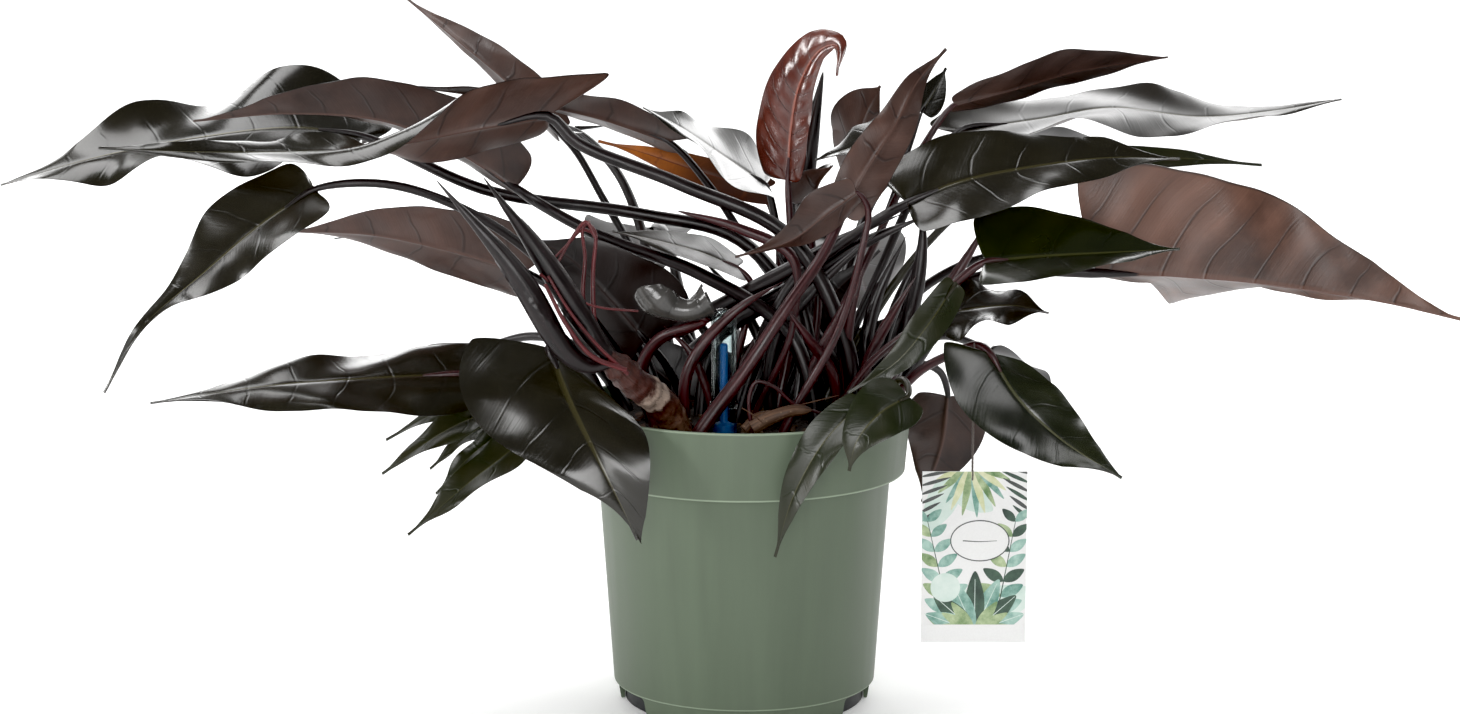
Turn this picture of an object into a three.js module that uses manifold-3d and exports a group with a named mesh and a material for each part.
// A potted philodendron with dark, glossy, arching leaves: the green nursery pot, the substrate,
// a water gauge, a leaning stem with its rolled spears, every leaf on its own stalk, and a hang tag.
// Millimetres, +Z up, +X to the viewer's right, +Y away from the viewer.
// The origin is the middle of the flat face that the pot stands on.

import * as THREE from "three";
import { mergeVertices } from "three/addons/utils/BufferGeometryUtils.js";
import Module from "manifold-3d";

const wasm = await Module();
wasm.setup();

// Driving dimensions, in millimetres.
const POT_HEIGHT = 218;
const RIM_RADIUS = 120;
const BAND_BOTTOM_Z = 169;
const BAND_BOTTOM_RADIUS = 115.7;
const BODY_TOP_RADIUS = 105.4;
const SEAM_Z = 14.2;
const SEAM_RADIUS = 94.7;
const SKIRT_TOP_RADIUS = 92.2;
const SKIRT_RADIUS = 90;
const BASE_RADIUS = 78;
const WALL = 2.6;
const NOTCHES = 3;
const NOTCH_TURN = 2;
const NOTCH_HALF_ANGLE = 14;
const NOTCH_TOP_Z = 12.6;
const SOIL_Z = 204;
const SOIL_RELIEF = 2.2;
const CHIPS = 20;
const CLEAR = 0.35;
const FOOT_DEPTH = 14;
const BLADE = 0.9;
const GAUGE_RADIUS = 9;
const GAUGE_WALL = 1.3;
const GAUGE_TOP_Z = 293;
const GAUGE_FOOT_Z = 186;
const ROD_RADIUS = 2.8;
const ROD_TOP_Z = 268;
const TAG_WIDTH = 74;
const TAG_HEIGHT = 124;
const TAG_THICK = 0.8;
const TAG_HOLE_RADIUS = 1.7;
const TAG_HOLE_DROP = 6;
const STRING_RADIUS = 0.6;

// The photograph's view, used to place what is read off it: eye height, distance, tilt and focal length.
const EYE_X = -10.3;
const EYE_DISTANCE = 2300;
const EYE_HEIGHT = 664.7;
const EYE_TILT = THREE.MathUtils.degToRad(10.22);
const FOCAL_PIXELS = 3256.5;
const PICTURE_CENTRE = [730, 357];

// The place that shows at a pixel of the photograph and lies at a given depth behind the pot's axis.
function seen(pixelX, pixelY, depth) {
  const rise = (PICTURE_CENTRE[1] - pixelY) / FOCAL_PIXELS;
  const away = depth + EYE_DISTANCE;
  const cos = Math.cos(EYE_TILT);
  const sin = Math.sin(EYE_TILT);
  const drop = (away * (rise * cos - sin)) / (cos + rise * sin);
  const forward = away * cos - drop * sin;
  const x = EYE_X + ((pixelX - PICTURE_CENTRE[0]) * forward) / FOCAL_PIXELS;
  return new THREE.Vector3(x, depth, EYE_HEIGHT + drop);
}

const mm = (x, y, z) => new THREE.Vector3(x, y, z);

const FINISH = {
  pot: { color: 0x75876f, roughness: 0.55, metalness: 0 },
  soil: { color: 0x2c211b, roughness: 0.95, metalness: 0 },
  dark: { color: 0x1d221d, roughness: 0.28, metalness: 0 },
  brown: { color: 0x4a322c, roughness: 0.45, metalness: 0 },
  young: { color: 0x5e2f26, roughness: 0.3, metalness: 0 },
  green: { color: 0x2c3322, roughness: 0.35, metalness: 0 },
  stem: { color: 0x6b3f30, roughness: 0.7, metalness: 0 },
  clear: { color: 0xb9bdbd, roughness: 0.1, metalness: 0 },
  blue: { color: 0x1f5fa8, roughness: 0.4, metalness: 0 },
  card: { color: 0xf2f2f0, roughness: 0.7, metalness: 0 },
  string: { color: 0x3a2d28, roughness: 0.9, metalness: 0 },
};

const model = new THREE.Group();

function addMesh(name, geometry, finish) {
  const mesh = new THREE.Mesh(geometry, new THREE.MeshStandardMaterial(FINISH[finish]));
  mesh.name = name;
  model.add(mesh);
}

// Solids: a closed geometry becomes one that can be joined or cut, and goes back again.
function solid(geometry) {
  const bare = geometry.clone();
  bare.deleteAttribute("normal");
  bare.deleteAttribute("uv");
  const merged = mergeVertices(bare, 1e-4);
  return new wasm.Manifold(
    new wasm.Mesh({
      numProp: 3,
      vertProperties: Float32Array.from(merged.attributes.position.array),
      triVerts: Uint32Array.from(merged.index.array),
    }),
  );
}

function geometryOf(body) {
  const mesh = body.getMesh();
  const geometry = new THREE.BufferGeometry();
  geometry.setAttribute("position", new THREE.BufferAttribute(mesh.vertProperties, 3));
  geometry.setIndex(new THREE.BufferAttribute(mesh.triVerts, 1));
  geometry.computeVertexNormals();
  return geometry;
}

function closedGeometry(points, faces) {
  const geometry = new THREE.BufferGeometry();
  const flat = points.flatMap((p) => [p.x, p.y, p.z]);
  geometry.setAttribute("position", new THREE.Float32BufferAttribute(flat, 3));
  geometry.setIndex(faces);
  return geometry;
}

// The same random draws every time.
function dice(seed) {
  let state = seed;
  return () => {
    state = (state * 1664525 + 1013904223) % 4294967296;
    return state / 4294967296;
  };
}

// A round stem through the given stations, with its own thickness at each one.
function stemSolid(stations, radii, sides) {
  const points = [];
  const faces = [];
  const across = new THREE.Vector3();
  let before = null;
  stations.forEach((centre, i) => {
    const last = stations.length - 1;
    const ahead = stations[Math.min(i + 1, last)];
    const along = ahead.clone().sub(stations[Math.max(i - 1, 0)]).normalize();
    if (!before) before = Math.abs(along.x) < 0.8 ? mm(1, 0, 0) : mm(0, 1, 0);
    across.copy(before).addScaledVector(along, -before.dot(along)).normalize();
    before = across.clone();
    const other = along.clone().cross(across);
    for (let k = 0; k < sides; k += 1) {
      const angle = (2 * Math.PI * k) / sides;
      const point = centre.clone().addScaledVector(across, radii[i] * Math.cos(angle));
      points.push(point.addScaledVector(other, radii[i] * Math.sin(angle)));
    }
  });
  for (let i = 0; i < stations.length - 1; i += 1) {
    for (let k = 0; k < sides; k += 1) {
      const a = i * sides + k;
      const b = i * sides + ((k + 1) % sides);
      faces.push(a, b, a + sides, b, b + sides, a + sides);
    }
  }
  for (let k = 1; k < sides - 1; k += 1) {
    const top = (stations.length - 1) * sides;
    faces.push(0, k + 1, k);
    faces.push(top, top + k, top + k + 1);
  }
  return solid(closedGeometry(points, faces));
}

// How wide a blade is along its midrib: rounded shoulders, then a long taper to the drip tip.
function bladeShare(leaf, u) {
  const shoulder = leaf.shoulder ?? 0.07;
  const belly = Math.sin(Math.PI * ((u + shoulder) / (1 + shoulder)) ** (leaf.belly ?? 0.62));
  return Math.max(0.03, belly * (1 - u * u) ** (leaf.taper ?? 0));
}

// A point of a blade, u from its base to its tip and v from its left margin, -1, to its right, 1.
function bladePoint(leaf, rib, u, v) {
  const share = Math.min(u, 0.999);
  const middle = rib.getPointAt(share);
  const along = rib.getTangentAt(share);
  const face = leaf.face[0].clone().lerp(leaf.face[1], u);
  face.addScaledVector(along, -face.dot(along)).normalize();
  const side = along.clone().cross(face);
  const edge = Math.abs(v);
  const width = leaf.wide * bladeShare(leaf, u) * (leaf.halves ? leaf.halves[v < 0 ? 0 : 1] : 1);
  const fold = THREE.MathUtils.degToRad(leaf.fold);
  const wave = leaf.wave ?? [0, 1, 0];
  const beat = 2 * Math.PI * (wave[1] * u + wave[2] + (v < 0 ? 0.37 : 0));
  const lift = wave[0] * edge * edge * Math.sin(beat) * Math.min(1, 3 * (1 - u));
  const lobe = leaf.lobes ? leaf.lobes[v < 0 ? 0 : 1] : leaf.lobe ?? 0.12;
  const back = lobe * leaf.long * Math.sqrt(1 - u) * edge ** 1.3;
  return middle
    .addScaledVector(along, -back)
    .addScaledVector(side, width * v * Math.cos(fold))
    .addScaledVector(face, width * edge * Math.sin(fold) - (leaf.curl ?? 0) * width * edge * edge + lift);
}

// Where a blade's facets meet, along its midrib and from margin to margin, fewer on a narrow one.
const BLADE_ROWS = [0, 0.1, 0.24, 0.4, 0.56, 0.72, 0.87, 1];
const BLADE_COLUMNS = [-1, -0.5, 0, 0.5, 1];
const NARROW_ROWS = [0, 0.15, 0.38, 0.62, 0.84, 1];
const NARROW_COLUMNS = [-1, 0, 1];
const NARROW_BLADE = 26;
const BROAD_BLADE = 41;

// A blade as a thin closed sheet, both faces split into the same triangles.
function bladeSolid(leaf, rib) {
  const narrow = leaf.wide < NARROW_BLADE;
  const shares = narrow ? NARROW_COLUMNS : BLADE_COLUMNS;
  const stations = leaf.wide < BROAD_BLADE ? NARROW_ROWS : BLADE_ROWS;
  const rows = stations.map((u) => shares.map((v) => bladePoint(leaf, rib, u, v)));
  const columns = shares.length;
  const top = [];
  const bottom = [];
  rows.forEach((row, i) => {
    row.forEach((point, j) => {
      const down = rows[Math.min(i + 1, rows.length - 1)][j].clone().sub(rows[Math.max(i - 1, 0)][j]);
      const over = row[Math.min(j + 1, columns - 1)].clone().sub(row[Math.max(j - 1, 0)]);
      const normal = over.cross(down).normalize();
      top.push(point.clone().addScaledVector(normal, BLADE / 2));
      bottom.push(point.clone().addScaledVector(normal, -BLADE / 2));
    });
  });
  const faces = [];
  const under = top.length;
  for (let i = 0; i < rows.length - 1; i += 1) {
    for (let j = 0; j < columns - 1; j += 1) {
      const a = i * columns + j;
      const corners = [a, a + 1, a + columns, a + 1, a + columns + 1, a + columns];
      faces.push(...corners);
      faces.push(...corners.map((c) => c + under).reverse());
    }
  }
  const rim = [];
  for (let j = 0; j < columns - 1; j += 1) rim.push(j);
  for (let i = 0; i < rows.length - 1; i += 1) rim.push(i * columns + columns - 1);
  for (let j = columns - 1; j > 0; j -= 1) rim.push((rows.length - 1) * columns + j);
  for (let i = rows.length - 1; i > 0; i -= 1) rim.push(i * columns);
  rim.forEach((a, k) => {
    const b = rim[(k + 1) % rim.length];
    faces.push(a, a + under, b, b, a + under, b + under);
  });
  return solid(closedGeometry([...top, ...bottom], faces));
}

// The stations along a leaf's stalk, from its foot in the substrate to a little way under its blade.
const STALK_STEPS = 7;

function stalkOf(leaf, rib) {
  const foot = leaf.stalk[0];
  const sunk = foot.clone().setZ(foot.z - FOOT_DEPTH);
  const line = new THREE.CatmullRomCurve3([sunk, ...leaf.stalk, rib.getPointAt(0), rib.getPointAt(0.12)]);
  const stations = [];
  const radii = [];
  for (let i = 0; i <= STALK_STEPS; i += 1) {
    const share = i / STALK_STEPS;
    stations.push(line.getPointAt(share));
    radii.push(leaf.thick * (1.15 - 0.45 * share) * (i === STALK_STEPS ? 0.6 : 1));
  }
  return { stations, radii };
}

const holes = [];

// Keeps the clearance hole of a stem, along the stretch of it that the substrate holds.
function addHole(stations, radii, sides) {
  const count = Math.max(2, stations.findIndex((s) => s.z > SOIL_Z + 9) + 1);
  const line = stations.slice(0, count);
  line[0] = line[0].clone().addScaledVector(line[1].clone().sub(line[0]).normalize(), -1);
  const room = CLEAR / Math.cos(Math.PI / sides);
  const wide = radii.slice(0, count).map((radius) => radius + room);
  holes.push(stemSolid(line, wide, sides));
}

const foot = (x, y) => mm(x, y, SOIL_Z);

const STALK_SIDES = 5;
// Joining leaves needless facets, which are merged while they lie this close to flat.
const TIDY = 0.12;

function leafSolid(leaf) {
  const rib = new THREE.CatmullRomCurve3(leaf.rib);
  leaf.long = rib.getLength();
  const { stations, radii } = stalkOf(leaf, rib);
  addHole(stations, radii, STALK_SIDES);
  return bladeSolid(leaf, rib).add(stemSolid(stations, radii, STALK_SIDES)).simplify(TIDY);
}

// The leaves. Each has a stalk from its foot, a midrib from base to tip, the way its upper face
// looks at the base and at the tip, half its width, and how far its halves fold up, curl or wave.
// Where its two sides differ, halves holds the width of each, and lobes how far each base lobe
// reaches back; shoulder and belly move the widest place along the blade.
const LEAVES = {
  leaf_left_high: {
    finish: "brown",
    stalk: [
      foot(-8, 42),
      seen(688, 340, 60),
      seen(640, 262, 78),
      seen(604, 200, 92),
      seen(575, 150, 104),
    ],
    rib: [seen(550, 124, 110), seen(506, 80, 122), seen(458, 40, 140), seen(405, -3, 170)],
    face: [mm(0.5, 0.6, 0.45), mm(0.45, 0.7, 0.3)],
    wide: 21,
    fold: 22,
    thick: 2.8,
  },
  leaf_left_long: {
    finish: "dark",
    stalk: [
      foot(80, 26),
      seen(812, 330, 42),
      seen(740, 240, 60),
      seen(640, 214, 66),
      seen(486, 190, 78),
    ],
    rib: [
      seen(362, 136, 88),
      seen(295, 128, 86),
      seen(200, 138, 80),
      seen(100, 157, 72),
      seen(0, 185, 60),
    ],
    face: [mm(0, -0.55, 1), mm(0, -0.5, 1)],
    wide: 58,
    fold: 6,
    wave: [11, 2.3, 0.63],
    thick: 4.4,
    belly: 0.74,
    lobes: [0.02, 0.12],
    halves: [0.84, 1],
  },
  leaf_left_middle: {
    finish: "brown",
    stalk: [
      foot(52, -34),
      seen(790, 335, -30),
      seen(700, 274, -5),
      seen(600, 236, 14),
      seen(540, 204, 24),
    ],
    rib: [
      seen(516, 188, 40),
      seen(462, 154, 42),
      seen(390, 122, 38),
      seen(290, 113, 32),
      seen(193, 121, 26),
    ],
    face: [mm(0, 0.65, 0.75), mm(0, 0.45, 0.85)],
    wide: 40,
    fold: 26,
    thick: 4.4,
    lobe: 0.03,
  },
  leaf_left_front: {
    finish: "dark",
    stalk: [
      foot(78, -22),
      seen(846, 345, -30),
      seen(790, 238, -25),
      seen(680, 184, -18),
      seen(578, 143, -12),
    ],
    rib: [
      seen(548, 116, -12),
      seen(464, 131, -22),
      seen(370, 148, -32),
      seen(280, 152, -40),
      seen(190, 152, -46),
      seen(98, 148, -50),
    ],
    face: [mm(0.1, 0.95, 0.3), mm(0, -0.95, 0.7)],
    wide: 43,
    fold: 10,
    wave: [6, 2.4, 0.1],
    thick: 4.9,
    lobe: 0.15,
    lobes: [0.12, 0.02],
    halves: [0.8, 0.62],
  },
  leaf_left_upper: {
    finish: "brown",
    stalk: [foot(28, 72), seen(800, 330, 74), seen(745, 240, 74), seen(708, 184, 68)],
    rib: [
      seen(668, 141, 62),
      seen(600, 118, 66),
      seen(530, 103, 68),
      seen(455, 92, 70),
      seen(385, 84, 70),
    ],
    face: [mm(0, 0.55, 0.85), mm(0, 0.35, 0.95)],
    wide: 26,
    fold: 10,
    thick: 2.8,
  },
  leaf_left_hanging: {
    finish: "dark",
    stalk: [
      foot(-66, 2),
      seen(600, 330, -10),
      seen(530, 252, -18),
      seen(457, 206, -30),
      seen(385, 184, -42),
    ],
    rib: [
      seen(315, 189, -52),
      seen(262, 224, -66),
      seen(205, 272, -76),
      seen(140, 330, -84),
      seen(104, 393, -86),
    ],
    face: [mm(-0.35, -0.8, 0.5), mm(-0.6, -0.7, 0.3)],
    wide: 38,
    fold: 14,
    wave: [4, 2.2, 0.4],
    thick: 3.2,
    taper: 1.6,
    lobe: 0.03,
  },
  leaf_left_low: {
    finish: "brown",
    stalk: [foot(-62, 28), seen(640, 350, 36), seen(580, 306, 42)],
    rib: [seen(525, 272, 44), seen(450, 250, 48), seen(370, 234, 52), seen(283, 231, 54)],
    face: [mm(0, 0.8, 0.55), mm(0, 0.6, 0.7)],
    wide: 40,
    fold: 12,
    thick: 3.4,
  },
  leaf_left_lowest: {
    finish: "dark",
    stalk: [foot(-94, -28), seen(572, 384, -34), seen(520, 374, -38)],
    rib: [seen(460, 374, -44), seen(380, 378, -52), seen(270, 386, -60), seen(150, 403, -66)],
    face: [mm(0, -0.45, 0.9), mm(0, -0.4, 0.9)],
    wide: 40,
    fold: 4,
    curl: 0.15,
    wave: [3, 2, 0.1],
    thick: 3,
  },
  leaf_front_large: {
    finish: "dark",
    stalk: [foot(-94, -48), seen(582, 362, -66)],
    rib: [seen(550, 347, -80), seen(568, 396, -104), seen(600, 462, -128), seen(638, 540, -132)],
    face: [mm(0.1, -0.8, 0.5), mm(0, -0.95, 0.15)],
    wide: 62,
    fold: 4,
    curl: 0.12,
    thick: 3.6,
    lobes: [-0.3, 0.2],
    halves: [0.62, 1.08],
  },
  leaf_centre_young: {
    finish: "young",
    stalk: [foot(22, -8), seen(796, 300, 0), seen(790, 220, 6)],
    rib: [
      seen(788, 180, 10),
      seen(791, 130, 8),
      seen(800, 84, 4),
      seen(820, 50, -2),
      seen(837, 46, -10),
      seen(837, 76, -16),
    ],
    face: [mm(-0.55, -0.85, 0.1), mm(-0.5, -0.85, 0.1)],
    wide: 33,
    fold: 14,
    curl: 0.35,
    lobe: 0.03,
    thick: 2.8,
    halves: [1, 0.45],
  },
  leaf_centre_pale: {
    finish: "dark",
    stalk: [foot(2, 26), seen(786, 300, 40), seen(776, 222, 46)],
    rib: [seen(765, 184, 46), seen(725, 157, 38), seen(685, 130, 30), seen(643, 107, 22)],
    face: [mm(0.1, -0.35, 0.95), mm(0.1, -0.35, 0.95)],
    wide: 40,
    fold: 6,
    wave: [4, 2, 0.6],
    thick: 2.8,
  },
  leaf_centre_amber: {
    finish: "young",
    stalk: [foot(-14, 72), seen(775, 300, 92), seen(776, 225, 96)],
    rib: [seen(760, 190, 94), seen(700, 172, 96), seen(640, 152, 98), seen(598, 141, 100)],
    face: [mm(0, 0.4, 0.9), mm(0, 0.4, 0.9)],
    wide: 24,
    fold: 6,
    thick: 2.6,
  },
  leaf_centre_back: {
    finish: "brown",
    stalk: [foot(14, 56), seen(822, 290, 70), seen(838, 210, 76)],
    rib: [seen(846, 168, 78), seen(856, 138, 84), seen(866, 110, 92), seen(880, 86, 102)],
    face: [mm(-0.2, 0.3, 1), mm(-0.2, 0.9, 0.3)],
    wide: 36,
    fold: 4,
    thick: 2.8,
  },
  leaf_centre_cup: {
    finish: "dark",
    stalk: [foot(44, 26), seen(818, 300, 34), seen(811, 230, 34)],
    rib: [seen(812, 197, 32), seen(820, 180, 22), seen(832, 166, 8)],
    face: [mm(0, -0.5, 0.85), mm(0, -0.2, 1)],
    wide: 24,
    fold: 26,
    lobe: 0.04,
    thick: 2.6,
  },
  leaf_centre_olive: {
    finish: "brown",
    stalk: [foot(-34, -78), seen(748, 366, -76), seen(786, 308, -70), seen(822, 256, -58)],
    rib: [
      seen(843, 214, -50),
      seen(868, 168, -44),
      seen(896, 124, -34),
      seen(917, 82, -20),
      seen(946, 49, 0),
    ],
    face: [mm(0.35, 0.85, 0.3), mm(0.2, 0.9, 0.35)],
    wide: 18,
    fold: 12,
    lobe: 0.03,
    thick: 4.2,
  },
  leaf_centre_bent: {
    finish: "brown",
    stalk: [foot(26, -64), seen(838, 330, -68), seen(862, 250, -70), seen(868, 208, -68)],
    rib: [seen(856, 192, -70), seen(828, 212, -74), seen(790, 240, -78), seen(735, 257, -80)],
    face: [mm(0.1, 0.8, 0.5), mm(0, 0.6, 0.7)],
    wide: 17,
    fold: 12,
    lobe: 0.05,
    thick: 2.4,
  },
  leaf_centre_grey: {
    finish: "dark",
    stalk: [foot(-16, 8), seen(744, 330, 6), seen(752, 285, 8)],
    rib: [seen(736, 267, 8), seen(700, 252, 4), seen(655, 240, 0), seen(612, 231, -4)],
    face: [mm(0, -0.4, 0.9), mm(0, -0.4, 0.9)],
    wide: 26,
    fold: 6,
    thick: 2.4,
  },
  leaf_centre_shade: {
    finish: "brown",
    stalk: [foot(-42, 44), seen(664, 362, 20)],
    rib: [seen(646, 340, 10), seen(608, 296, 4), seen(570, 258, 0), seen(532, 238, -2)],
    face: [mm(0.2, 1, 0.2), mm(0.1, 1, 0.2)],
    wide: 47,
    fold: 4,
    thick: 2.8,
  },
  leaf_curled: {
    finish: "dark",
    stalk: [foot(-62, -20), seen(642, 370, -20), seen(658, 340, -28), seen(690, 327, -38)],
    rib: [seen(706, 320, -44), seen(684, 312, -48), seen(656, 302, -50), seen(634, 280, -46)],
    face: [mm(0.1, -0.5, 0.8), mm(0.6, -0.4, 0.6)],
    wide: 19,
    fold: 38,
    lobe: 0.03,
    thick: 4.2,
  },
  leaf_right_top: {
    finish: "brown",
    stalk: [foot(36, 46), seen(862, 270, 60), seen(900, 190, 66), seen(926, 142, 68)],
    rib: [seen(955, 104, 70), seen(1010, 90, 74), seen(1080, 70, 78), seen(1168, 57, 80)],
    face: [mm(0, 0.5, 0.85), mm(0, 0.45, 0.85)],
    wide: 34,
    fold: 6,
    lobe: 0.05,
    thick: 2.6,
  },
  leaf_right_pale: {
    finish: "dark",
    stalk: [foot(60, 66), seen(880, 270, 92), seen(924, 176, 106)],
    rib: [
      seen(962, 130, 110),
      seen(1040, 119, 112),
      seen(1110, 108, 112),
      seen(1200, 117, 110),
      seen(1280, 110, 106),
      seen(1342, 99, 100),
    ],
    face: [mm(0, -0.3, 1), mm(0, -0.5, 1)],
    wide: 37,
    fold: 6,
    wave: [6, 2.2, 0.55],
    thick: 3,
    belly: 0.72,
  },
  leaf_right_front: {
    finish: "dark",
    stalk: [foot(-6, -14), seen(788, 288, -12), seen(836, 248, -14), seen(880, 218, -22)],
    rib: [
      seen(908, 203, -30),
      seen(960, 182, -34),
      seen(1040, 166, -38),
      seen(1110, 158, -42),
      seen(1180, 159, -44),
    ],
    face: [mm(0, -0.5, 0.85), mm(0, -0.5, 0.85)],
    wide: 45,
    fold: 8,
    wave: [3, 2, 0.2],
    thick: 4,
    shoulder: 0.16,
    lobes: [0.1, 0.02],
    belly: 0.7,
  },
  leaf_right_narrow: {
    finish: "green",
    stalk: [foot(60, 46), seen(890, 290, 48), seen(950, 220, 44)],
    rib: [seen(1000, 182, 40), seen(1080, 166, 42), seen(1165, 158, 46), seen(1262, 165, 50)],
    face: [mm(0, -0.3, 0.95), mm(0, -0.3, 0.95)],
    wide: 24,
    fold: 4,
    thick: 2.8,
  },
  leaf_right_large: {
    finish: "brown",
    stalk: [foot(94, -4), seen(912, 338, 2), seen(950, 290, 6), seen(1010, 272, 6)],
    rib: [
      seen(1095, 273, 4),
      seen(1180, 276, 4),
      seen(1260, 283, 4),
      seen(1380, 301, 0),
      seen(1462, 320, -6),
    ],
    face: [mm(0, 0.75, 0.55), mm(0, 0.8, 0.5)],
    wide: 80,
    fold: 36,
    lobe: 0.04,
    thick: 4.4,
    shoulder: 0.2,
  },
  leaf_right_middle: {
    finish: "dark",
    stalk: [foot(70, -52), seen(896, 350, -56), seen(944, 294, -56)],
    rib: [seen(985, 262, -56), seen(1040, 257, -58), seen(1110, 253, -62), seen(1180, 249, -64)],
    face: [mm(0, -0.5, 0.8), mm(0, -0.5, 0.8)],
    wide: 42,
    fold: 18,
    lobe: 0.08,
    thick: 3.2,
    shoulder: 0.14,
  },
  leaf_right_low: {
    finish: "dark",
    stalk: [foot(60, -40), seen(868, 366, -42), seen(912, 330, -43)],
    rib: [seen(944, 314, -46), seen(980, 308, -50), seen(1015, 306, -54), seen(1049, 313, -58)],
    face: [mm(0, -0.6, 0.75), mm(0, -0.5, 0.8)],
    wide: 25,
    fold: 6,
    wave: [3, 1.6, 0.5],
    thick: 2.6,
    lobe: 0.05,
  },
  leaf_right_hanging: {
    finish: "dark",
    stalk: [foot(92, -34), seen(916, 374, -46), seen(956, 352, -54), seen(976, 345, -58)],
    rib: [seen(990, 353, -66), seen(1018, 398, -80), seen(1062, 440, -88), seen(1122, 478, -90)],
    face: [mm(0.3, -0.85, 0.5), mm(0.3, -0.9, 0.35)],
    wide: 43,
    fold: 8,
    lobe: 0.2,
    thick: 3,
    halves: [0.62, 0.95],
    lobes: [-0.08, 0.2],
  },
  leaf_right_slender: {
    finish: "green",
    stalk: [foot(58, -56), seen(892, 372, -70), seen(934, 308, -80)],
    rib: [seen(955, 284, -84), seen(930, 322, -98), seen(896, 362, -106), seen(848, 393, -108)],
    face: [mm(0.5, -0.8, 0.4), mm(0.4, -0.8, 0.5)],
    wide: 16,
    fold: 8,
    lobe: 0.03,
    thick: 2.4,
  },
  leaf_right_lance: {
    finish: "green",
    stalk: [foot(60, -77), seen(872, 384, -98)],
    rib: [seen(862, 402, -118), seen(824, 442, -128), seen(794, 495, -130), seen(775, 557, -126)],
    face: [mm(-0.4, -0.85, 0.4), mm(-0.5, -0.85, 0.1)],
    wide: 15,
    fold: 14,
    lobe: 0.03,
    thick: 2.4,
  },
  leaf_right_short: {
    finish: "green",
    stalk: [foot(76, -62), seen(900, 380, -90)],
    rib: [seen(908, 396, -122), seen(878, 415, -140), seen(857, 441, -146), seen(849, 471, -146)],
    face: [mm(-0.2, -0.85, 0.5), mm(-0.3, -0.9, 0.2)],
    wide: 22,
    fold: 8,
    lobe: 0.03,
    thick: 2.4,
  },
  leaf_right_behind: {
    finish: "brown",
    stalk: [foot(98, 20), seen(914, 366, 44), seen(940, 372, 66)],
    rib: [seen(948, 396, 76), seen(942, 444, 80), seen(922, 502, 78)],
    face: [mm(0, 1, 0.1), mm(0, 1, 0.1)],
    wide: 31,
    fold: 6,
    lobe: 0.05,
    thick: 2.6,
  },
  leaf_back_small: {
    finish: "dark",
    stalk: [foot(44, 96), seen(880, 230, 130), seen(912, 140, 140)],
    rib: [seen(922, 112, 142), seen(934, 92, 150), seen(946, 68, 160)],
    face: [mm(0.6, -0.6, 0.4), mm(0.6, -0.6, 0.4)],
    wide: 12,
    fold: 10,
    lobe: 0.03,
    thick: 2,
  },
  leaf_back_left_high: {
    finish: "dark",
    stalk: [foot(-50, 72), mm(-70, 120, 300), mm(-95, 160, 362)],
    rib: [mm(-130, 190, 392), mm(-210, 222, 402), mm(-290, 250, 392), mm(-360, 268, 372)],
    face: [mm(-0.2, 0.2, 1), mm(-0.3, 0.1, 1)],
    wide: 46,
    fold: 8,
    wave: [4, 2, 0.2],
    thick: 3.6,
  },
  leaf_back_left: {
    finish: "dark",
    stalk: [foot(-74, 62), mm(-108, 98, 268), mm(-140, 130, 298)],
    rib: [mm(-176, 150, 306), mm(-228, 176, 312), mm(-276, 196, 312), mm(-318, 210, 306)],
    face: [mm(-0.1, 0.25, 1), mm(-0.4, 0.1, 0.9)],
    wide: 36,
    fold: 8,
    wave: [3, 2, 0.5],
    thick: 3.4,
  },
  leaf_back_left_low: {
    finish: "dark",
    stalk: [foot(-86, 38), mm(-124, 64, 246), mm(-160, 86, 250)],
    rib: [mm(-196, 104, 238), mm(-260, 124, 226), mm(-320, 140, 212), mm(-385, 150, 196)],
    face: [mm(-0.1, 0.2, 1), mm(-0.2, 0.1, 1)],
    wide: 34,
    fold: 8,
    wave: [3, 2, 0.5],
    thick: 3.2,
  },
  leaf_back_centre_left: {
    finish: "dark",
    stalk: [foot(-32, 94), mm(-48, 128, 276), mm(-60, 168, 316)],
    rib: [mm(-68, 204, 316), mm(-82, 262, 298), mm(-92, 312, 262), mm(-98, 352, 214)],
    face: [mm(-0.1, 0.5, 0.85), mm(-0.1, 0.85, 0.5)],
    wide: 48,
    fold: 8,
    wave: [4, 2, 0.3],
    thick: 3.6,
  },
  leaf_back_centre_right: {
    finish: "dark",
    stalk: [foot(22, 98), mm(44, 130, 270), mm(62, 170, 304)],
    rib: [mm(72, 206, 304), mm(88, 262, 284), mm(100, 308, 250), mm(110, 346, 206)],
    face: [mm(0.1, 0.5, 0.85), mm(0.1, 0.85, 0.5)],
    wide: 46,
    fold: 8,
    wave: [4, 2, 0.8],
    thick: 3.6,
  },
  leaf_back_hanging: {
    finish: "dark",
    stalk: [foot(-4, 100), mm(-6, 134, 244), mm(-6, 154, 240)],
    rib: [mm(-6, 170, 222), mm(-2, 192, 172), mm(4, 196, 122), mm(10, 184, 66)],
    face: [mm(0, 0.85, 0.5), mm(0, 1, -0.1)],
    wide: 44,
    fold: 6,
    wave: [3, 2, 0.3],
    thick: 3.2,
  },
  leaf_back_right_high: {
    finish: "dark",
    stalk: [foot(54, 78), mm(80, 128, 300), mm(104, 166, 350)],
    rib: [mm(140, 192, 372), mm(200, 220, 380), mm(270, 244, 372), mm(340, 262, 348)],
    face: [mm(0.1, 0.25, 1), mm(0.3, 0.2, 0.9)],
    wide: 44,
    fold: 8,
    wave: [4, 2, 0.1],
    thick: 3.6,
  },
  leaf_back_right: {
    finish: "dark",
    stalk: [foot(78, 56), mm(118, 88, 272), mm(166, 116, 300)],
    rib: [mm(214, 132, 308), mm(290, 150, 318), mm(370, 164, 316), mm(450, 172, 296)],
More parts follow.
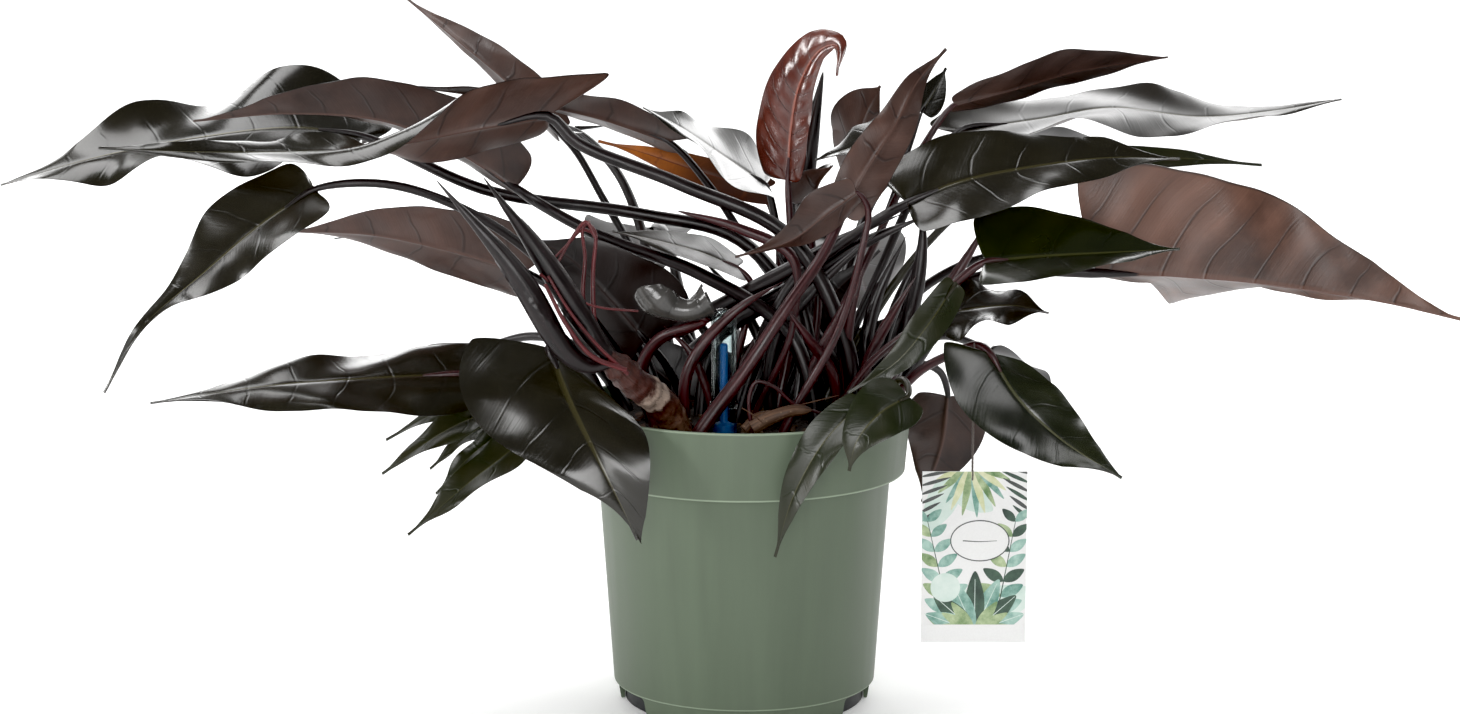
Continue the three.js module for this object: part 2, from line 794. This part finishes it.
    face: [mm(0.1, 0.25, 1), mm(0.2, 0.2, 0.95)],
    wide: 44,
    fold: 8,
    wave: [4, 2, 0.6],
    thick: 3.4,
  },
  leaf_back_right_low: {
    finish: "dark",
    stalk: [foot(88, 40), mm(104, 50, 232), mm(144, 76, 252)],
    rib: [mm(184, 104, 236), mm(208, 122, 220), mm(228, 138, 198), mm(240, 146, 170)],
    face: [mm(0.4, 0.3, 0.9), mm(0.7, 0.3, 0.6)],
    wide: 28,
    fold: 8,
    wave: [3, 2, 0.2],
    thick: 3,
  },
};

// The low side shoot: narrow leaves that share one short stem, all one piece.
const SHOOT = {
  face: [mm(-0.2, -0.2, 1), mm(-0.4, -0.4, 0.8)],
  stalk: [foot(-100, 6), mm(-122, 4, 232), mm(-138, 2, 232)],
  crown: seen(544, 392, 0),
  thick: 3.4,
  leaves: [
    { rib: [seen(534, 390, 12), seen(490, 397, 18), seen(440, 411, 24), seen(386, 440, 28)], wide: 10 },
    { rib: [seen(528, 399, -10), seen(490, 411, -12), seen(440, 434, -16), seen(382, 474, -20)], wide: 14 },
    { rib: [seen(530, 404, 6), seen(498, 418, 8), seen(465, 438, 8), seen(430, 469, 8)], wide: 9 },
    { rib: [seen(534, 411, 2), seen(508, 428, -4), seen(472, 455, -8), seen(436, 494, -10)], wide: 11 },
    { rib: [seen(538, 418, -18), seen(515, 446, -26), seen(470, 482, -34), seen(408, 535, -40)], wide: 15 },
  ],
};

// Leaves still rolled up, each a spindle on its stalk.
const SPEARS = {
  spear_centre: {
    finish: "dark",
    line: [
      foot(36, 8),
      seen(808, 300, 28),
      seen(802, 200, 52),
      seen(812, 130, 52),
      seen(823, 72, 46),
    ],
    bulge: 7.5,
    from: 0.5,
    thick: 3,
  },
  shoot_red: {
    finish: "stem",
    line: [
      foot(4, -30),
      seen(792, 330, -44),
      seen(792, 258, -46),
      seen(740, 229, -42),
      seen(678, 211, -38),
    ],
    bulge: 4.2,
    from: 0.55,
    thick: 2.4,
  },
};

// A leaf with its stalk is one grown piece.
for (const [name, leaf] of Object.entries(LEAVES)) {
  addMesh(name, geometryOf(leafSolid(leaf)), leaf.finish);
}

// The side shoot: its short stem and its narrow leaves grow together.
function shootSolid() {
  const line = new THREE.CatmullRomCurve3([
    SHOOT.stalk[0].clone().setZ(SOIL_Z - FOOT_DEPTH),
    ...SHOOT.stalk,
    SHOOT.crown,
  ]);
  const stations = line.getSpacedPoints(7);
  const radii = stations.map((_, i) => SHOOT.thick * (1.1 - 0.04 * i));
  addHole(stations, radii, STALK_SIDES);
  let shoot = stemSolid(stations, radii, STALK_SIDES);
  for (const leaf of SHOOT.leaves) {
    const blade = { face: SHOOT.face, fold: 10, lobe: 0.02, ...leaf };
    const rib = new THREE.CatmullRomCurve3(leaf.rib);
    blade.long = rib.getLength();
    const root = [line.getPointAt(0.9), ...[0, 0.12].map((share) => rib.getPointAt(share))];
    shoot = shoot.add(bladeSolid(blade, rib)).add(stemSolid(root, [2, 1.6, 1.1], 4));
  }
  return shoot.simplify(TIDY);
}
addMesh("side_shoot", geometryOf(shootSolid()), "green");

// A rolled leaf swells from its stalk and draws out to a point.
function spearSolid(spear) {
  const start = spear.line[0].clone().setZ(spear.line[0].z - FOOT_DEPTH);
  const line = new THREE.CatmullRomCurve3([start, ...spear.line]);
  const stations = line.getSpacedPoints(16);
  const radii = stations.map((_, i) => {
    const share = i / 16;
    const along = Math.max(0, (share - spear.from) / (1 - spear.from));
    const swelling = (spear.bulge - spear.thick) * Math.sin(Math.PI * along ** 0.7);
    return spear.thick * (1 - 0.75 * along ** 3) + swelling;
  });
  radii[16] = 0.5;
  addHole(stations, radii, 6);
  return stemSolid(stations, radii, 6);
}
for (const [name, spear] of Object.entries(SPEARS)) {
  addMesh(name, geometryOf(spearSolid(spear)), spear.finish);
}

// The leaning stem: a stout, scarred stem out of the substrate, with two rolled spears, the stubs
// of old stalks and a few dry red strands growing from its end.
const STEM_LINE = [foot(-47, -52), seen(662, 404, -66), seen(634, 382, -90), seen(606, 356, -108)];
const STEM_SPEARS = [
  [
    seen(612, 362, -108),
    seen(588, 366, -113),
    seen(566, 352, -118),
    seen(520, 278, -124),
    seen(437, 181, -124),
  ],
  [
    seen(622, 368, -104),
    seen(604, 350, -106),
    seen(578, 312, -108),
    seen(530, 240, -112),
    seen(484, 178, -124),
  ],
];
const STRANDS = [
  [seen(628, 362, -106), seen(606, 330, -118), seen(570, 276, -122), seen(562, 262, -120)],
  [seen(632, 366, -102), seen(600, 316, -104), seen(604, 268, -96), seen(592, 224, -92)],
  [seen(624, 356, -100), seen(592, 292, -98), seen(582, 240, -94), seen(590, 222, -92)],
];

function leaningStem() {
  const start = STEM_LINE[0].clone().setZ(SOIL_Z - FOOT_DEPTH);
  const line = new THREE.CatmullRomCurve3([start, ...STEM_LINE]);
  const stations = line.getSpacedPoints(10);
  const radii = [10.4, 10.8, 11.6, 10.8, 11.8, 10.6, 11.4, 10.4, 10.8, 9.6, 5.5];
  addHole(stations, radii, 9);
  let stem = stemSolid(stations, radii, 9);
  for (const points of STEM_SPEARS) {
    const spear = new THREE.CatmullRomCurve3(points);
    const rings = spear.getSpacedPoints(12);
    const swell = rings.map((_, i) => 3 + 5.6 * Math.sin(Math.PI * Math.min(1, (i + 0.6) / 10.5)) ** 1.1);
    swell[11] = 1.4;
    swell[12] = 0.5;
    stem = stem.add(stemSolid(rings, swell, 7));
  }
  for (const points of STRANDS) {
    const rings = new THREE.CatmullRomCurve3(points).getSpacedPoints(6);
    stem = stem.add(stemSolid(rings, rings.map(() => 1.1), 4));
  }
  return stem.simplify(TIDY);
}
addMesh("leaning_stem", geometryOf(leaningStem()), "stem");

// The pot: one moulded wall with a wide rim band, a seam near the foot, and a notched skirt
// round a flat base that the pot stands on.
const POT_PROFILE = [
  [0, 0],
  [BASE_RADIUS, 0],
  [BASE_RADIUS + 1.5, 11.5],
  [SKIRT_RADIUS - WALL - 0.4, 11.5],
  [SKIRT_RADIUS - WALL, 0],
  [SKIRT_RADIUS, 0],
  [SKIRT_TOP_RADIUS, SEAM_Z - 0.6],
  [SEAM_RADIUS, SEAM_Z],
  [BODY_TOP_RADIUS, BAND_BOTTOM_Z],
  [BAND_BOTTOM_RADIUS, BAND_BOTTOM_Z],
  [RIM_RADIUS, POT_HEIGHT - 1.5],
  [RIM_RADIUS - 0.8, POT_HEIGHT],
  [RIM_RADIUS - 3.6, POT_HEIGHT],
  [BAND_BOTTOM_RADIUS - WALL - 0.6, BAND_BOTTOM_Z + 4],
  [BODY_TOP_RADIUS - WALL, BAND_BOTTOM_Z + 0.5],
  [SEAM_RADIUS - WALL, SEAM_Z + 4],
  [SEAM_RADIUS - WALL - 4, SEAM_Z + 0.3],
  [BASE_RADIUS - 2, SEAM_Z + 0.3],
  [BASE_RADIUS - 3.5, WALL],
  [0, WALL],
];
const POT_SIDES = 40;

function lathe(profile, sides) {
  const geometry = new THREE.LatheGeometry(profile.map(([r, z]) => new THREE.Vector2(r, z)), sides);
  return geometry.rotateX(Math.PI / 2);
}

// The skirt's notches, each an upright block with rounded upper corners, turned round the foot.
function notch(index) {
  const half = SKIRT_RADIUS * Math.sin(THREE.MathUtils.degToRad(NOTCH_HALF_ANGLE));
  const round = 3;
  const outline = new THREE.Shape();
  outline.moveTo(-half, -2);
  outline.lineTo(half, -2);
  outline.lineTo(half, NOTCH_TOP_Z - round);
  outline.lineTo(half - round * 0.3, NOTCH_TOP_Z - round * 0.3);
  outline.lineTo(half - round, NOTCH_TOP_Z);
  outline.lineTo(round - half, NOTCH_TOP_Z);
  outline.lineTo(round * 0.3 - half, NOTCH_TOP_Z - round * 0.3);
  outline.lineTo(-half, NOTCH_TOP_Z - round);
  const block = new THREE.ExtrudeGeometry(outline, { depth: 16, bevelEnabled: false });
  block.rotateX(Math.PI / 2);
  block.translate(0, -SKIRT_RADIUS + 11, 0);
  const turn = THREE.MathUtils.degToRad(NOTCH_TURN + (360 * (index + 0.5)) / NOTCHES);
  return block.rotateZ(turn);
}

function potSolid() {
  let pot = solid(lathe(POT_PROFILE, POT_SIDES));
  for (let i = 0; i < NOTCHES; i += 1) pot = pot.subtract(solid(notch(i)));
  return pot;
}
addMesh("pot", geometryOf(potSolid()), "pot");

// The water gauge: a clear tube with a domed top, and a blue rod that rises inside it.
const GAUGE_PLACE = mm(-14.6, -45, 0);
const GAUGE_PROFILE = [
  [GAUGE_RADIUS - GAUGE_WALL, GAUGE_FOOT_Z],
  [GAUGE_RADIUS, GAUGE_FOOT_Z],
  [GAUGE_RADIUS, 222],
  [GAUGE_RADIUS + 1.3, 223],
  [GAUGE_RADIUS + 1.3, 226],
  [GAUGE_RADIUS, 227],
  [GAUGE_RADIUS, GAUGE_TOP_Z - 7],
  [GAUGE_RADIUS - 1.2, GAUGE_TOP_Z - 3.5],
  [GAUGE_RADIUS - 3.6, GAUGE_TOP_Z - 1],
  [0, GAUGE_TOP_Z],
  [0, GAUGE_TOP_Z - 1.6],
  [GAUGE_RADIUS - 4.4, GAUGE_TOP_Z - 2.6],
  [GAUGE_RADIUS - 2.4, GAUGE_TOP_Z - 5],
  [GAUGE_RADIUS - GAUGE_WALL, GAUGE_TOP_Z - 8],
];
const ROD_PROFILE = [
  [0, GAUGE_FOOT_Z],
  [GAUGE_RADIUS - GAUGE_WALL - 0.5, GAUGE_FOOT_Z],
  [GAUGE_RADIUS - GAUGE_WALL - 0.5, GAUGE_FOOT_Z + 24],
  [ROD_RADIUS, GAUGE_FOOT_Z + 26],
  [ROD_RADIUS, ROD_TOP_Z],
  [0, ROD_TOP_Z],
];

function gaugePart(profile, sides) {
  const closed = profile[0][0] === 0 ? profile : [...profile, profile[0]];
  const geometry = lathe(closed, sides);
  return geometry.translate(GAUGE_PLACE.x, GAUGE_PLACE.y, 0);
}
addMesh("gauge_tube", geometryOf(solid(gaugePart(GAUGE_PROFILE, 16))), "clear");
addMesh("gauge_rod", geometryOf(solid(gaugePart(ROD_PROFILE, 12))), "blue");

// The substrate fills the pot: its top is lumpy and strewn with bark chips, and every stem
// and stalk stands in a plain hole in it.
function soilRadius(z) {
  if (z < SEAM_Z + 4) return SEAM_RADIUS - WALL - 4.4;
  const share = (z - SEAM_Z - 4) / (BAND_BOTTOM_Z - SEAM_Z - 3.5);
  const body = SEAM_RADIUS - WALL + (BODY_TOP_RADIUS - SEAM_RADIUS) * share;
  if (z <= BAND_BOTTOM_Z + 1) return Math.min(body, BODY_TOP_RADIUS - WALL) - CLEAR;
  return BAND_BOTTOM_RADIUS - WALL - 0.6 + ((z - BAND_BOTTOM_Z - 4) * 3.8) / 45 - CLEAR;
}

function soilTop(radius, angle) {
  const lump = Math.sin(radius * 0.21 + 3 * angle) + Math.sin(radius * 0.13 - 5 * angle + 1);
  return SOIL_Z + SOIL_RELIEF * 0.5 * lump;
}

const SOIL_SIDES = POT_SIDES;
const SOIL_RINGS = [82, 40];

function soilBody() {
  const walls = [SEAM_Z + 0.7, SEAM_Z + 5, BAND_BOTTOM_Z + 1, BAND_BOTTOM_Z + 4.7];
  const points = [mm(0, 0, SEAM_Z + 0.7)];
  const rings = [];
  const ring = (radius, height) => {
    rings.push(points.length);
    for (let k = 0; k < SOIL_SIDES; k += 1) {
      const angle = (2 * Math.PI * k) / SOIL_SIDES;
      points.push(mm(radius * Math.cos(angle), radius * Math.sin(angle), height(angle)));
    }
  };
  for (const z of walls) ring(soilRadius(z), () => z);
  const brim = soilRadius(SOIL_Z - 3);
  for (const radius of [brim, ...SOIL_RINGS]) ring(radius, (angle) => soilTop(radius, angle));
  points.push(mm(0, 0, SOIL_Z));
  const faces = [];
  for (let k = 0; k < SOIL_SIDES; k += 1) {
    const next = (k + 1) % SOIL_SIDES;
    faces.push(0, rings[0] + next, rings[0] + k);
    for (let i = 0; i < rings.length - 1; i += 1) {
      const [a, b, c, d] = [rings[i] + k, rings[i] + next, rings[i + 1] + k, rings[i + 1] + next];
      faces.push(a, b, c, b, d, c);
    }
    faces.push(rings.at(-1) + k, rings.at(-1) + next, points.length - 1);
  }
  return solid(closedGeometry(points, faces));
}

// A chip of bark: a small slab lying askew in the surface.
function barkChip(roll) {
  const radius = 100 * Math.sqrt(roll());
  const angle = 2 * Math.PI * roll();
  const chip = new THREE.BoxGeometry(7 + 9 * roll(), 5 + 5 * roll(), 2.4 + 2 * roll());
  chip.rotateX(0.7 * (roll() - 0.5)).rotateY(0.7 * (roll() - 0.5)).rotateZ(2 * Math.PI * roll());
  const place = mm(radius * Math.cos(angle), radius * Math.sin(angle), soilTop(radius, angle) + 0.6);
  return chip.translate(place.x, place.y, place.z);
}

function soilSolid() {
  let soil = soilBody();
  const roll = dice(7);
  for (let i = 0; i < CHIPS; i += 1) soil = soil.add(solid(barkChip(roll)));
  const gauge = [
    [0, GAUGE_FOOT_Z - CLEAR],
    [GAUGE_RADIUS + 1.3 + CLEAR, GAUGE_FOOT_Z - CLEAR],
    [GAUGE_RADIUS + 1.3 + CLEAR, SOIL_Z + 14],
    [0, SOIL_Z + 14],
  ];
  soil = soil.subtract(solid(gaugePart(gauge, 16)));
  for (const hole of holes) soil = soil.subtract(hole);
  return soil.simplify(TIDY).decompose().sort((a, b) => b.volume() - a.volume())[0];
}
addMesh("substrate", geometryOf(soilSolid()), "soil");

// The hang tag: a card with a hole, on a thin string looped round the stalk of a leaf.
const TAG_HOLE = mm(160.3, -59.1, 172.9);

function tagSolid() {
  const outline = new THREE.Shape();
  const left = TAG_HOLE.x - TAG_WIDTH * 0.475;
  const top = TAG_HOLE.z + TAG_HOLE_DROP;
  outline.moveTo(left, top - TAG_HEIGHT);
  outline.lineTo(left + TAG_WIDTH, top - TAG_HEIGHT);
  outline.lineTo(left + TAG_WIDTH, top);
  outline.lineTo(left, top);
  const hole = new THREE.Path();
  hole.absarc(TAG_HOLE.x, TAG_HOLE.z, TAG_HOLE_RADIUS, 0, 2 * Math.PI, true);
  outline.holes.push(hole);
  const cut = { depth: TAG_THICK, bevelEnabled: false, curveSegments: 10 };
  const card = new THREE.ExtrudeGeometry(outline, cut);
  card.rotateX(Math.PI / 2);
  return card.translate(0, TAG_HOLE.y + TAG_THICK / 2, 0);
}
addMesh("tag", geometryOf(solid(tagSolid())), "card");

// The string's route, as distances behind and above the tag's hole: out through the hole, up in
// front of the stalk, over it, and down behind the card to the knot.
const STRING_ROUTE = [
  [0.4, 0],
  [-0.8, 0.1],
  [-2.2, 0.9],
  [-2.9, 2.6],
  [-3, 8],
  [-3.2, 30],
  [-3.6, 60],
  [-4.1, 84],
  [-4.3, 92.6],
  [-3.3, 95.9],
  [0, 97.5],
  [3.3, 95.9],
  [4.3, 92.6],
  [4.2, 84],
  [4, 60],
  [3.7, 30],
  [3.1, 8],
  [2.7, 3.6],
];
const STRING_STEPS = 56;
const STRING_SIDES = 8;
const KNOT_RADIUS = 3.2;
const KNOT_DEPTH = 1.9;

function stringGeometry() {
  const section = new THREE.Shape();
  for (let k = 0; k < STRING_SIDES; k += 1) {
    const angle = (2 * Math.PI * k) / STRING_SIDES;
    section[k ? "lineTo" : "moveTo"](STRING_RADIUS * Math.cos(angle), STRING_RADIUS * Math.sin(angle));
  }
  const route = STRING_ROUTE.map(([back, up]) => mm(TAG_HOLE.x, TAG_HOLE.y + back, TAG_HOLE.z + up));
  const extrudePath = new THREE.CatmullRomCurve3(route);
  return new THREE.ExtrudeGeometry(section, { steps: STRING_STEPS, extrudePath });
}
addMesh("tag_string", stringGeometry(), "string");

// The knot is drawn flat against the card's back.
const knot = new THREE.IcosahedronGeometry(KNOT_RADIUS, 1);
knot.scale(1, KNOT_DEPTH / KNOT_RADIUS, 1);
knot.translate(TAG_HOLE.x, TAG_HOLE.y + TAG_THICK / 2 + CLEAR + KNOT_DEPTH, TAG_HOLE.z);
addMesh("string_knot", knot, "string");

export default model;
